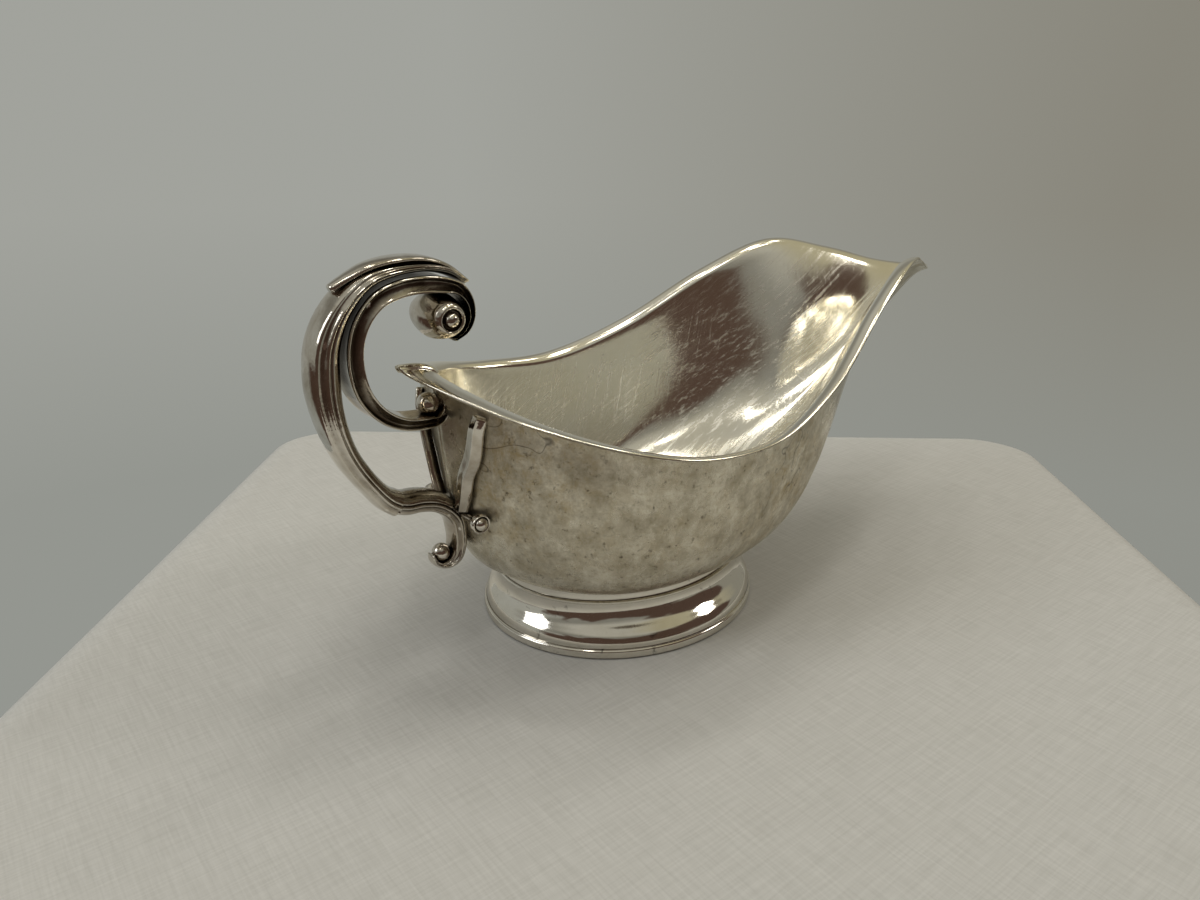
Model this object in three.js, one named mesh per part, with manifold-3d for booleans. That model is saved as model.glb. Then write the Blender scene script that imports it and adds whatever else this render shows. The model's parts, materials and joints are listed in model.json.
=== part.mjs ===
import * as THREE from 'three';
import Module from 'manifold-3d';

// Sauce boat: a raised bowl with a pouring spout, an oval foot and a double-scroll handle.
// Millimetres. X runs from the handle to the spout, Y across and Z up.

const wasm = await Module();
wasm.setup();

// Reach of the spout's tip and of the rim's handle end from the middle of the foot
const spoutReach = 133;
const rimEnd = 62.6;

// Gap that stands for the solder between two curved pieces
const solderGap = 0.3;

// Rim edge, down one side from the spout's tip to the handle end. Along is a share of the spout's
// reach, or of the rim end's where it is negative, and half a share of the rim's half width.
const rimHalf = 50.1;
const rimStations = [
  { along: 1, half: 0, height: 78.0 },
  { along: 0.97, half: 0.078, height: 78.1 },
  { along: 0.891, half: 0.208, height: 79.8 },
  { along: 0.771, half: 0.371, height: 84.4 },
  { along: 0.632, half: 0.557, height: 87.4 },
  { along: 0.462, half: 0.705, height: 78.9 },
  { along: 0.275, half: 0.858, height: 65.4 },
  { along: 0.084, half: 0.964, height: 57.4 },
  { along: -0.201, half: 1, height: 57.9 },
  { along: -0.516, half: 0.892, height: 62.0 },
  { along: -0.783, half: 0.571, height: 67.7 },
  { along: -0.963, half: 0.118, height: 73.5 },
  { along: -1, half: 0, height: 76.1 },
];

// Foot, collar and band
const foot = { long: 38.4, wide: 34.4, top: 14.0, sheet: 1.0, flange: 1.1 };
const band = { height: 2.6, sheet: 1.5 };
const collar = { height: 3.2, wall: 1.5 };

// Foot's outer side: inward is the share of the way from its lower oval to the bowl's base, and
// up the share of the way from the band to the foot's top
const footProfile = [
  { inward: 0, up: 0 },
  { inward: 0.01, up: 0.114 },
  { inward: 0.17, up: 0.246 },
  { inward: 0.46, up: 0.36 },
  { inward: 0.76, up: 0.474 },
  { inward: 1.0, up: 0.614 },
  { inward: 1.11, up: 0.763 },
  { inward: 1.11, up: 0.904 },
  { inward: 0.84, up: 0.93 },
  { inward: 0.84, up: 1 },
];
const flangeStart = 0.92;

// Band's outer side: how far it stands out from the foot, at shares of its height
const bandProfile = [
  { proud: 0.4, up: 0 },
  { proud: 0.7, up: 0.2 },
  { proud: 0.7, up: 0.7 },
  { proud: 0.45, up: 0.9 },
  { proud: 0.2, up: 1 },
];

// Bowl
const bowlSheet = 1.2;
const bowlBase = { long: 35.5, wide: 29.6, sag: 2.5 };
const bowlStart = foot.top + collar.height;
const lipWidth = { side: 3.4, spout: 8.0, handle: 5.2 };
const lipSharpness = { spout: 8, handle: 10 };
const lipRise = { least: 0.4, scale: 0.5, power: 0.7 };
const wallLean = { plain: 6.4, spout: 53 };
const wallStart = { plain: 3, spout: 27, handle: 15 };
const wallPull = { low: 0.68, lowSpout: 0.42, high: 0.77, highSpout: 0.22 };
const spoutPinch = 0.22;
const baseShift = 0.35;
const bottomShares = [0.35, 0.7];

// How finely the surfaces are divided
const bowlColumns = 64;
const wallSteps = 10;
const lipSteps = 4;
const ovalColumns = 48;
const outerSteps = 34;
const innerSteps = 42;
const tailSteps = 26;
const leafSteps = 22;
const strutSteps = 16;
const voluteColumns = 24;
const buttonColumns = 20;
const domeColumns = 18;
const domeSteps = 5;

// Handle: the height at which it is measured from the bowl's wall, its depth from there, and the
// heights of its lower and upper beads. Its pieces have their place as shares: out along the depth,
// and up from the lower bead to the upper one, or to the rim's handle end.
const handle = { rootHeight: 38, depth: 33.4, back: 3.5, low: 28.8, high: 85.8 };
const volute = { out: 0.079, up: 1, radius: 5.2, endRadius: 3.9, half: 7.1 };
const voluteEye = { recessRadius: 3.4, recess: 0.8, radius: 2.1, height: 1.9 };
const rimBead = { out: 0.187, upToRim: 0.791, radius: 2.0, half: 4.6 };
const tailBead = { out: 0.172, up: 0, radius: 1.8, half: 4.6 };
const button = { out: 0.034, up: 0.175, neck: 1.0, radius: 2.1, start: 3.9, cup: 8.9, face: 11.0 };
const buttonCup = { wall: 0.5, recess: 0.6, bead: 1.3, beadHeight: 1.3 };
const strutTurn = 73;

// Sections of the handle's pieces, as shares of the half thickness and half width
const flutedSection = mirrored([
  [1.0, 0], [0.94, 0.3], [0.72, 0.56], [0.5, 0.66], [0.5, 0.88],
  [0.2, 1.0], [-0.3, 1.0], [-0.75, 0.75], [-0.95, 0.35], [-1.0, 0],
]);
const hollowSection = mirrored([
  [1.0, 0], [1.0, 0.74], [0.82, 0.98], [0.5, 0.86], [0, 0.74],
  [-0.5, 0.86], [-0.82, 0.98], [-1.0, 0.74], [-1.0, 0],
]);
const strapSection = mirrored([[1.0, 0], [0.88, 0.6], [0.3, 1.0], [-0.5, 0.96], [-1.0, 0.6], [-1.0, 0]]);
const ribbonSection = mirrored([[1.0, 0], [0.3, 1.0], [-0.6, 0.92], [-0.8, 0]]);

// Completes one half of a section with its mirror image
function mirrored(half) {
  const back = half.slice(1, -1).reverse().map(([out, side]) => [out, -side]);
  return [...half, ...back];
}

// Triangles between neighbouring rings of points, closed by a point at each end or into a loop
function skin(rings, start, end) {
  const points = rings.flat();
  const columns = rings[0].length;
  const index = [];
  const joins = start ? rings.length - 1 : rings.length;
  for (let i = 0; i < joins; i += 1) {
    const here = i * columns;
    const next = ((i + 1) % rings.length) * columns;
    for (let j = 0; j < columns; j += 1) {
      const k = (j + 1) % columns;
      index.push(here + j, here + k, next + k, here + j, next + k, next + j);
    }
  }
  if (start) {
    const last = (rings.length - 1) * columns;
    points.push(start, end);
    for (let j = 0; j < columns; j += 1) {
      const k = (j + 1) % columns;
      index.push(points.length - 2, k, j);
      index.push(points.length - 1, last + j, last + k);
    }
  }
  return outward(new THREE.BufferGeometry().setFromPoints(points).setIndex(index));
}

// Turns the triangles round if they enclose a negative volume
function outward(geometry) {
  const position = geometry.getAttribute('position');
  const index = geometry.getIndex();
  const corner = [new THREE.Vector3(), new THREE.Vector3(), new THREE.Vector3()];
  let volume = 0;
  for (let i = 0; i < index.count; i += 3) {
    corner.forEach((point, k) => point.fromBufferAttribute(position, index.getX(i + k)));
    volume += corner[0].dot(corner[1].clone().cross(corner[2]));
  }
  if (volume < 0) {
    geometry.setIndex([...index.array].reverse());
  }
  return geometry;
}

function toSolid(geometry) {
  const vertProperties = new Float32Array(geometry.getAttribute('position').array);
  const triVerts = new Uint32Array(geometry.getIndex().array);
  return new wasm.Manifold(new wasm.Mesh({ numProp: 3, vertProperties, triVerts }));
}

function fromSolid(solid) {
  const { vertProperties, triVerts } = solid.getMesh();
  const geometry = new THREE.BufferGeometry();
  geometry.setAttribute('position', new THREE.BufferAttribute(vertProperties, 3));
  geometry.setIndex(new THREE.BufferAttribute(triVerts, 1));
  return geometry;
}

// A piece with the shapes of its neighbours taken out of it
function cutBy(geometry, ...tools) {
  const solid = tools.reduce((rest, tool) => rest.subtract(toSolid(tool)), toSolid(geometry));
  return fromSolid(solid);
}

// Closed rim curve: one side's stations and their mirror image
const farSide = rimStations.map((s) => new THREE.Vector3(
  s.along * (s.along > 0 ? spoutReach : rimEnd), s.half * rimHalf, s.height));
const nearSide = farSide.slice(1, -1).reverse().map((p) => new THREE.Vector3(p.x, -p.y, p.z));
const rimCurve = new THREE.CatmullRomCurve3([...farSide, ...nearSide], true, 'catmullrom', 0.5);

function blend(from, to, share) {
  return from + (to - from) * share;
}

function smoothShare(value) {
  const share = THREE.MathUtils.clamp(value, 0, 1);
  return share * share * (3 - 2 * share);
}

// Outer line of the bowl from its base to the rim edge, in the direction of an angle from the spout
function bowlLine(angle) {
  const c = Math.cos(angle);
  const s = Math.sin(angle);
  const spoutShare = smoothShare(c);
  const handleShare = smoothShare(-c);
  const edge = rimCurve.getPoint(angle / (2 * Math.PI));
  const spoutLip = lipWidth.spout * Math.max(c, 0) ** lipSharpness.spout;
  const handleLip = lipWidth.handle * Math.max(-c, 0) ** lipSharpness.handle;
  const inward = new THREE.Vector3(handleLip - spoutLip - lipWidth.side * c, -lipWidth.side * s, 0);
  const width = inward.length();
  const out = inward.clone().divideScalar(-width);
  const rise = lipRise.least + lipRise.scale * width ** lipRise.power;
  const lean = THREE.MathUtils.degToRad(blend(wallLean.plain, wallLean.spout, spoutShare));
  edge.z -= bowlSheet / 2;
  const throat = edge.clone().add(inward).setZ(edge.z - rise);

  const turn = angle - (baseShift * Math.sin(2 * angle) * (1 + c)) / 2;
  const start = new THREE.Vector3(
    bowlBase.long * Math.cos(turn), bowlBase.wide * Math.sin(turn), bowlStart);
  const reach = throat.clone().sub(start).setZ(0);
  const startAngle = wallStart.plain + (wallStart.spout - wallStart.plain) * spoutShare
    + (wallStart.handle - wallStart.plain) * handleShare;
  const low = reach.clone().multiplyScalar(blend(wallPull.low, wallPull.lowSpout, spoutShare));
  low.z = low.length() * Math.tan(THREE.MathUtils.degToRad(startAngle));
  low.add(start);
  const drop = blend(wallPull.high, wallPull.highSpout, spoutShare) * (throat.z - start.z);
  const high = throat.clone().addScaledVector(out, -Math.tan(lean) * drop);
  high.z -= drop;
  high.y *= 1 - spoutPinch * spoutShare;

  const line = new THREE.CubicBezierCurve3(start, low, high, throat).getPoints(wallSteps);
  const acrossRadius = width / Math.cos(lean);
  const upRadius = rise / (1 - Math.sin(lean));
  for (let i = 1; i <= lipSteps; i += 1) {
    const turned = blend(lean, Math.PI / 2, i / lipSteps);
    const point = throat.clone().addScaledVector(out, acrossRadius * (Math.cos(lean) - Math.cos(turned)));
    point.z += upRadius * (Math.sin(turned) - Math.sin(lean));
    line.push(point);
  }
  return line;
}

// Height of the bowl's bottom at a share of the way from its middle to its base line
function bottomHeight(share) {
  return bowlStart - bowlBase.sag * (1 - share * share);
}

// Rings of the bowl's outer side, from a small one near the middle of its bottom up to the rim edge
function bowlRings() {
  const lines = [];
  for (let j = 0; j < bowlColumns; j += 1) {
    const line = bowlLine((j * 2 * Math.PI) / bowlColumns);
    const inner = bottomShares.map((share) => new THREE.Vector3(
      line[0].x * share, line[0].y * share, bottomHeight(share)));
    lines.push([...inner, ...line]);
  }
  return lines[0].map((_, i) => lines.map((line) => line[i]));
}

// The same rings moved along their surface's normal
function offsetRings(rings, distance) {
  return rings.map((ring, i) => ring.map((point, j) => {
    const columns = ring.length;
    const along = ring[(j + 1) % columns].clone().sub(ring[(j + columns - 1) % columns]);
    const above = rings[Math.min(i + 1, rings.length - 1)][j];
    const below = rings[Math.max(i - 1, 0)][j];
    const normal = along.cross(above.clone().sub(below)).normalize();
    return point.clone().addScaledVector(normal, distance);
  }));
}

function middlePoint(height) {
  return new THREE.Vector3(0, 0, height);
}

const outerRings = bowlRings();
const bowlBottom = bottomHeight(0);

function makeBowl() {
  const innerRings = offsetRings(outerRings, -bowlSheet).reverse();
  return skin([...outerRings, ...innerRings], middlePoint(bowlBottom), middlePoint(bowlBottom + bowlSheet));
}

// Everything inside the bowl's outer side, used to seat the pieces that are soldered to it
function bowlSeat() {
  const rings = offsetRings(outerRings, solderGap);
  return skin(rings, middlePoint(bowlBottom - solderGap), middlePoint(rimStations[0].height));
}

function ovalRing(long, wide, height) {
  const ring = [];
  for (let j = 0; j < ovalColumns; j += 1) {
    const angle = (j * 2 * Math.PI) / ovalColumns;
    ring.push(new THREE.Vector3(long * Math.cos(angle), wide * Math.sin(angle), height));
  }
  return ring;
}

// An oval ring of metal whose section is a closed loop of points
function ovalHoop(section) {
  return skin(section.map((p) => ovalRing(p.long, p.wide, p.height)));
}

function makeCollar() {
  const top = bottomHeight(1 - collar.wall / bowlBase.long) - solderGap;
  const outer = { long: bowlBase.long, wide: bowlBase.wide };
  const inner = { long: outer.long - collar.wall, wide: outer.wide - collar.wall };
  return ovalHoop([
    { ...outer, height: foot.top },
    { ...outer, height: top },
    { ...inner, height: top },
    { ...inner, height: foot.top },
  ]);
}

function makeFoot() {
  const outer = footProfile.map(({ inward, up }) => ({
    long: blend(foot.long, bowlBase.long, inward),
    wide: blend(foot.wide, bowlBase.wide, inward),
    height: blend(band.height, foot.top, up),
    inset: foot.sheet + (up > flangeStart ? foot.flange : 0),
  }));
  const inner = outer.map(({ long, wide, height, inset }) => (
    { long: long - inset, wide: wide - inset, height }));
  return ovalHoop([...outer, ...inner.reverse()]);
}

function makeBand() {
  const outer = bandProfile.map(({ proud, up }) => (
    { long: foot.long + proud, wide: foot.wide + proud, height: up * band.height }));
  const inner = { long: foot.long - band.sheet, wide: foot.wide - band.sheet };
  return ovalHoop([...outer, { ...inner, height: band.height }, { ...inner, height: 0 }]);
}

// A bar along a line of stations, each with a half thickness and a half width
function bar(stations, section, steps, side = new THREE.Vector3(0, 1, 0), grow = 0) {
  const places = stations.map((s) => new THREE.Vector3(s.x, s.y ?? 0, s.z));
  const sizes = stations.map((s) => new THREE.Vector3(s.thick, s.wide, 0));
  const path = new THREE.CatmullRomCurve3(places, false, 'centripetal');
  const size = new THREE.CatmullRomCurve3(sizes, false, 'catmullrom', 0.5);
  const rings = [];
  const ends = [];
  for (let i = 0; i <= steps; i += 1) {
    const t = i / steps;
    const tangent = path.getTangent(t);
    const across = side.clone().addScaledVector(tangent, -side.dot(tangent)).normalize();
    const out = tangent.clone().cross(across);
    const centre = path.getPoint(t);
    const half = size.getPoint(t);
    if (i === 0 || i === steps) {
      centre.addScaledVector(tangent, i === 0 ? -grow : grow);
      ends.push(centre);
    }
    rings.push(section.map(([outShare, sideShare]) => centre.clone()
      .addScaledVector(out, outShare * (half.x + grow))
      .addScaledVector(across, sideShare * (half.y + grow))));
  }
  return skin(rings, ends[0], ends[1]);
}

// Reach of the bowl's wall at the handle end, at a height
function wallReach(height) {
  const line = bowlLine(Math.PI);
  const above = line.findIndex((point) => point.z > height);
  const [low, high] = [line[above - 1], line[above]];
  return -blend(low.x, high.x, (height - low.z) / (high.z - low.z));
}

const rimEndHeight = rimStations[rimStations.length - 1].height;
const handleRoot = wallReach(handle.rootHeight);
const handleReach = handleRoot + handle.depth;

// A piece or station of the handle with its place worked out from its shares
function placed(item) {
  const x = -(handleRoot + item.out * handle.depth);
  const z = item.upToRim === undefined
    ? blend(handle.low, handle.high, item.up) : blend(handle.low, rimEndHeight, item.upToRim);
  return { ...item, x, z };
}

// Stations on a winding round a bead: each at an angle in degrees from the +X direction
function winding(bead, turns) {
  const centre = placed(bead);
  return turns.map(([degrees, thick, wide]) => {
    const angle = THREE.MathUtils.degToRad(degrees);
    const radius = bead.radius + solderGap + thick;
    return { x: centre.x + radius * Math.cos(angle), z: centre.z + radius * Math.sin(angle), thick, wide };
  });
}

const outerStations = [
  { out: -0.102, up: 1.123, thick: 0.5, wide: 3.0 },
  { out: 0.026, up: 1.172, thick: 1.0, wide: 4.0 },
  { out: 0.251, up: 1.196, thick: 1.1, wide: 4.6 },
  { out: 0.559, up: 1.17, thick: 1.7, wide: 4.8 },
  { out: 0.745, up: 1.084, thick: 2.5, wide: 5.0 },
  { out: 0.862, up: 0.961, thick: 3.2, wide: 5.0 },
  { out: 1 - handle.back / handle.depth, up: 0.819, thick: handle.back, wide: 5.0 },
  { out: 0.886, up: 0.714, thick: 3.2, wide: 5.0 },
  { out: 0.835, up: 0.582, thick: 2.8, wide: 4.9 },
  { out: 0.769, up: 0.488, thick: 2.6, wide: 4.8 },
  { out: 0.649, up: 0.374, thick: 2.5, wide: 4.7 },
  { out: 0.568, up: 0.314, thick: 2.7, wide: 4.7 },
  { out: 0.5, up: 0.284, thick: 2.8, wide: 4.7 },
].map(placed);

const innerArc = [
  { out: 0.239, up: 1.137, thick: 1.9, wide: 5.2 },
  { out: 0.389, up: 1.128, thick: 2.0, wide: 4.9 },
  { out: 0.526, up: 1.095, thick: 2.1, wide: 4.7 },
  { out: 0.631, up: 1.028, thick: 2.2, wide: 4.6 },
  { out: 0.688, up: 0.947, thick: 2.3, wide: 4.6 },
  { out: 0.694, up: 0.849, thick: 2.3, wide: 4.6 },
  { out: 0.652, up: 0.753, thick: 2.2, wide: 4.6 },
  { out: 0.547, upToRim: 0.808, thick: 1.9, wide: 4.5 },
  { out: 0.401, upToRim: 0.744, thick: 1.6, wide: 4.4 },
].map(placed);

const innerStations = [
  ...winding(volute, [[-62, 0.5, 5.0], [-25, 0.8, 6.0], [12, 1.0, 6.3], [50, 1.4, 6.1], [88, 1.7, 5.8]]),
  ...innerArc,
  ...winding(rimBead, [[-112, 1.4, 4.3], [-72, 1.1, 4.2], [-35, 0.8, 4.1], [-8, 0.5, 4.0]]),
];

const tailArc = [
  { out: 0.491, up: 0.282, thick: 2.8, wide: 4.7 },
  { out: 0.431, up: 0.272, thick: 2.9, wide: 4.7 },
  { out: 0.335, up: 0.267, thick: 2.7, wide: 4.6 },
  { out: 0.221, up: 0.247, thick: 2.5, wide: 4.5 },
  { out: 0.119, up: 0.204, thick: 2.4, wide: 4.4 },
  { out: 0.056, up: 0.149, thick: 2.3, wide: 4.3 },
  { out: 0.038, up: 0.088, thick: 2.3, wide: 4.2 },
  { out: 0.038, up: 0.032, thick: 2.2, wide: 4.1 },
].map(placed);

const tailStations = [
  ...tailArc,
  ...winding(tailBead, [[-25, 2.1, 4.0], [-60, 1.7, 3.9], [-95, 1.15, 3.8], [-130, 0.5, 3.7]]),
];

const leafStations = [
  { out: 0.763, up: 1.154, thick: 1.1, wide: 3.9 },
  { out: 0.676, up: 1.179, thick: 1.1, wide: 4.1 },
  { out: 0.535, up: 1.211, thick: 1.1, wide: 4.2 },
  { out: 0.341, up: 1.228, thick: 0.9, wide: 4.1 },
  { out: 0.161, up: 1.218, thick: 0.8, wide: 3.8 },
  { out: 0.012, up: 1.186, thick: 0.7, wide: 3.4 },
  { out: -0.126, up: 1.125, thick: 0.5, wide: 2.6 },
].map(placed);

const strutStations = [
  { out: 0.065, y: 4.7, upToRim: 0.271, thick: 1.0, wide: 1.6 },
  { out: 0.071, y: 6.6, upToRim: 0.326, thick: 1.0, wide: 1.8 },
  { out: 0.08, y: 9.6, upToRim: 0.423, thick: 1.0, wide: 1.9 },
  { out: 0.083, y: 12.4, upToRim: 0.539, thick: 1.0, wide: 2.0 },
  { out: 0.077, y: 14.4, upToRim: 0.651, thick: 1.0, wide: 2.1 },
  { out: 0.065, y: 15.1, upToRim: 0.740, thick: 1.0, wide: 2.2 },
  { out: 0.029, y: 14.9, upToRim: 0.799, thick: 1.0, wide: 2.3 },
].map(placed);

function outerScroll(grow = 0) {
  return bar(outerStations, flutedSection, outerSteps, undefined, grow);
}

function innerScroll(grow = 0) {
  return bar(innerStations, hollowSection, innerSteps, undefined, grow);
}

function tailScroll(grow = 0) {
  return bar(tailStations, flutedSection, tailSteps, undefined, grow);
}

function makeInnerScroll() {
  return cutBy(innerScroll(), outerScroll(solderGap), bowlSeat());
}

function makeTailScroll() {
  return cutBy(tailScroll(), outerScroll(solderGap), bowlSeat());
}

function makeLeaf() {
  return cutBy(bar(leafStations, strapSection, leafSteps), outerScroll(solderGap));
}

// A turned piece on an axis along Y, from a profile of [radius, distance along the axis]
function turned(profile, bead, columns, sign = 1) {
  const centre = placed(bead);
  const rings = profile.slice(1, -1).map(([radius, along]) => {
    const ring = [];
    for (let j = 0; j < columns; j += 1) {
      const angle = (j * 2 * Math.PI) / columns;
      ring.push(new THREE.Vector3(
        centre.x + radius * Math.cos(angle), sign * along, centre.z + radius * Math.sin(angle)));
    }
    return ring;
  });
  const end = ([, along]) => new THREE.Vector3(centre.x, sign * along, centre.z);
  return skin(rings, end(profile[0]), end(profile[profile.length - 1]));
}

// Half a profile, from its end to its middle, completed with its mirror image
function bothEnds(halfProfile) {
  return [...halfProfile, ...halfProfile.slice(0, -1).reverse().map(([radius, along]) => [radius, -along])];
}

function makeVolute() {
  const { radius, endRadius, half } = volute;
  const floor = half - voluteEye.recess;
  return turned(bothEnds([
    [0, floor], [voluteEye.recessRadius, floor], [voluteEye.recessRadius, half - 0.15],
    [endRadius - 0.15, half], [endRadius + 0.15, half - 0.35],
    [blend(endRadius, radius, 0.55), half * 0.78], [blend(endRadius, radius, 0.93), half * 0.45],
    [radius, 0],
  ]), volute, voluteColumns);
}

// A round bead along Y with domed ends
function makeBead(bead) {
  const { radius, half } = bead;
  const dome = radius * 0.75;
  const rod = turned(bothEnds([
    [0, half], [radius * 0.45, half - dome * 0.1], [radius * 0.82, half - dome * 0.42],
    [radius, half - dome], [radius, 0],
  ]), bead, buttonColumns);
  return cutBy(rod, bowlSeat());
}

// A small dome that stands on a flat floor and faces along Y
function domeBead(radius, height, floor, bead, sign) {
  const profile = [[0, floor], [radius, floor]];
  for (let i = 1; i < domeSteps; i += 1) {
    const angle = (i / domeSteps) * (Math.PI / 2);
    profile.push([radius * Math.cos(angle), floor + height * Math.sin(angle)]);
  }
  profile.push([0, floor + height]);
  return turned(profile, bead, domeColumns, sign);
}

function makeVoluteEye(sign) {
  return domeBead(voluteEye.radius, voluteEye.height, volute.half - voluteEye.recess, volute, sign);
}

function makeStrut(sign) {
  const turn = THREE.MathUtils.degToRad(strutTurn);
  const side = new THREE.Vector3(-Math.cos(turn), -Math.sin(turn) * sign, 0);
  const stations = strutStations.map((s) => ({ ...s, y: s.y * sign }));
  const strap = bar(stations, ribbonSection, strutSteps, side);
  return cutBy(strap, bowlSeat(), tailScroll(solderGap));
}

function makeButton(sign) {
  const { neck, radius, start, cup, face } = button;
  const floor = face - buttonCup.recess;
  const mouth = radius - buttonCup.wall;
  const cupAndNeck = turned([
    [0, start], [neck, start], [neck * 0.85, start + 2.2], [neck, cup - 0.8], [radius * 0.8, cup],
    [radius, cup + 0.7], [radius, face - 0.3], [radius - 0.2, face], [mouth, face], [mouth, floor],
    [0, floor],
  ], button, buttonColumns, sign);
  return cutBy(cupAndNeck, bowlSeat(), tailScroll(solderGap));
}

function makeButtonBead(sign) {
  return domeBead(buttonCup.bead, buttonCup.beadHeight, button.face - buttonCup.recess, button, sign);
}

const silver = { color: 0xc9c2b4, roughness: 0.28, metalness: 0.95 };
const dullSilver = { color: 0xb3aa9a, roughness: 0.4, metalness: 0.9 };
const castSilver = { color: 0x9a9083, roughness: 0.35, metalness: 0.92 };

const group = new THREE.Group();
group.name = 'sauce_boat';

// Adds one piece, with X measured from the middle of the overall length
function add(name, geometry, look) {
  geometry.translate((handleReach - spoutReach) / 2, 0, 0);
  geometry.computeVertexNormals();
  const mesh = new THREE.Mesh(geometry, new THREE.MeshStandardMaterial(look));
  mesh.name = name;
  group.add(mesh);
}

add('bowl', makeBowl(), dullSilver);
add('foot_collar', makeCollar(), silver);
add('foot', makeFoot(), silver);
add('foot_band', makeBand(), silver);
add('handle_outer_scroll', outerScroll(), castSilver);
add('handle_inner_scroll', makeInnerScroll(), castSilver);
add('thumb_leaf', makeLeaf(), castSilver);
add('volute', makeVolute(), castSilver);
add('rim_bead', makeBead(rimBead), castSilver);
add('tail_scroll', makeTailScroll(), castSilver);
add('tail_bead', makeBead(tailBead), castSilver);
for (const [sideName, sign] of [['left', 1], ['right', -1]]) {
  add(`volute_eye_${sideName}`, makeVoluteEye(sign), castSilver);
  add(`strut_${sideName}`, makeStrut(sign), castSilver);
  add(`side_button_${sideName}`, makeButton(sign), castSilver);
  add(`side_bead_${sideName}`, makeButtonBead(sign), castSilver);
}

export default group;
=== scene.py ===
"""Looks of the silver-plated sauce boat: every soldered piece rebuilt finely over the CAD frame.

The boat's lengths are in millimetres from the middle of the foot until a mesh is made, then in metres
in the row frame. The studio's lengths are in metres. X runs from the handle to the spout, Z is up.
"""

import json
import math

import bpy
import numpy as np
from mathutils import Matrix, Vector
from mathutils.bvhtree import BVHTree

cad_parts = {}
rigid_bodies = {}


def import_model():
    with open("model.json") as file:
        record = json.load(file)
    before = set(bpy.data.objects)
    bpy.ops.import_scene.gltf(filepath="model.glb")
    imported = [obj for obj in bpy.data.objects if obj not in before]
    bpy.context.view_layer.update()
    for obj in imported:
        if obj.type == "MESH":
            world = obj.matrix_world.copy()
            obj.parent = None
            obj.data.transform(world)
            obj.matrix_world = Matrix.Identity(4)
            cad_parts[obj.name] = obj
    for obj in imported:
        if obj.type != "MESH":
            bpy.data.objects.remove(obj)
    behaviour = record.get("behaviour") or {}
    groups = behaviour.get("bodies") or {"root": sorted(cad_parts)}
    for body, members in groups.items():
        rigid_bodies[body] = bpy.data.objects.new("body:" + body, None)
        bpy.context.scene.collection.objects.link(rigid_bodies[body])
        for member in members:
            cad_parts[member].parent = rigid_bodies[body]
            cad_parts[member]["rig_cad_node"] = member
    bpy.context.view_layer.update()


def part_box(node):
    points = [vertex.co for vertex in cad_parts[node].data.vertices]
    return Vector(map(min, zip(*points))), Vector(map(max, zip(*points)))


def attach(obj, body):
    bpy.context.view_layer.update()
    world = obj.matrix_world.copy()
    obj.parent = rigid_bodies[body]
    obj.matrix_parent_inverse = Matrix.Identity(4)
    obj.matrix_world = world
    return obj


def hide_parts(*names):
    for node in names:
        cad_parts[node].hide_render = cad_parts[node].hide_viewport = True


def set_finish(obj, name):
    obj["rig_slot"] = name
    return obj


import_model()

MM = 0.001
foot_low, foot_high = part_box("foot")
FOOT_MIDDLE = np.array([(foot_low.x + foot_high.x) / 2, 0, 0])

# Rim stations down one side, from the spout's tip to the handle end: share of the spout's reach (or of
# the rim end's, where it is negative), share of the half width, and height
SPOUT_REACH = 133
RIM_END = 62.6
RIM_HALF = 50.1
RIM = [
    (1, 0, 78.0), (0.97, 0.078, 78.1), (0.891, 0.208, 79.8), (0.771, 0.371, 84.4),
    (0.632, 0.557, 87.4), (0.462, 0.705, 78.9), (0.275, 0.858, 65.4), (0.084, 0.964, 57.4),
    (-0.201, 1, 57.9), (-0.516, 0.892, 62.0), (-0.783, 0.541, 67.5), (-0.963, 0.088, 73.6),
    (-1, 0, 76.1),
]
RIM_END_HEIGHT = RIM[-1][2]

# Bowl, with its angles in degrees
BOWL_SHEET, EDGE_SHEET, EDGE_ROUND = 1.2, 0.75, 0.35
BASE_LONG, BASE_WIDE, BASE_SAG = 35.5, 29.6, 2.5
BOWL_START = 17.2
BOWL_BOTTOM = BOWL_START - BASE_SAG
LIP_WIDTH = {"side": 3.4, "spout": 8, "handle": 5.2}
LIP_SHARPNESS = {"spout": 8, "handle": 10}
LIP_RISE = {"least": 0.4, "scale": 0.5, "power": 0.7}
WALL_LEAN = {"side": 6.4, "less_at_handle": 3.0, "spout": 53}
WALL_START = {"side": 3, "more_at_spout": 24, "more_at_handle": 12}
WALL_PULL = {"low": 0.68, "low_spout": 0.42, "high": 0.77, "high_spout": 0.22}
SPOUT_PINCH = 0.22
BASE_SHIFT = 0.35

# How finely the surfaces are divided
BOWL_COLUMNS = 288
BOTTOM_ROWS = 8
WALL_ROWS = 44
LIP_ROWS = 12
EDGE_ROWS = 5
OVAL_COLUMNS = 192
FOOT_GAP_STEPS = 6
SECTION_GAP_STEPS = 2
OUTER_STEPS, INNER_STEPS, TAIL_STEPS, STRAP_STEPS, STRUT_STEPS = 190, 230, 130, 110, 60
VOLUTE_COLUMNS, BALL_COLUMNS, CUP_COLUMNS, DOME_COLUMNS = 72, 56, 56, 48
BALL_STEPS, DOME_STEPS = 14, 10

# Edges that turn by more than this angle, in degrees, are shaded sharp
SHARP_BAR, SHARP_FOOT, SHARP_TURNED, SHARP_BOWL = 35, 40, 50, 50

# Foot, band and collar
FOOT_LONG, FOOT_WIDE, FOOT_TOP, FOOT_SHEET = 38.4, 34.4, 14.0, 1.0
FLANGE, FLANGE_START = 1.1, 0.92
BAND_HEIGHT, BAND_SHEET = 2.6, 1.5
COLLAR_WALL = 1.5

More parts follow.
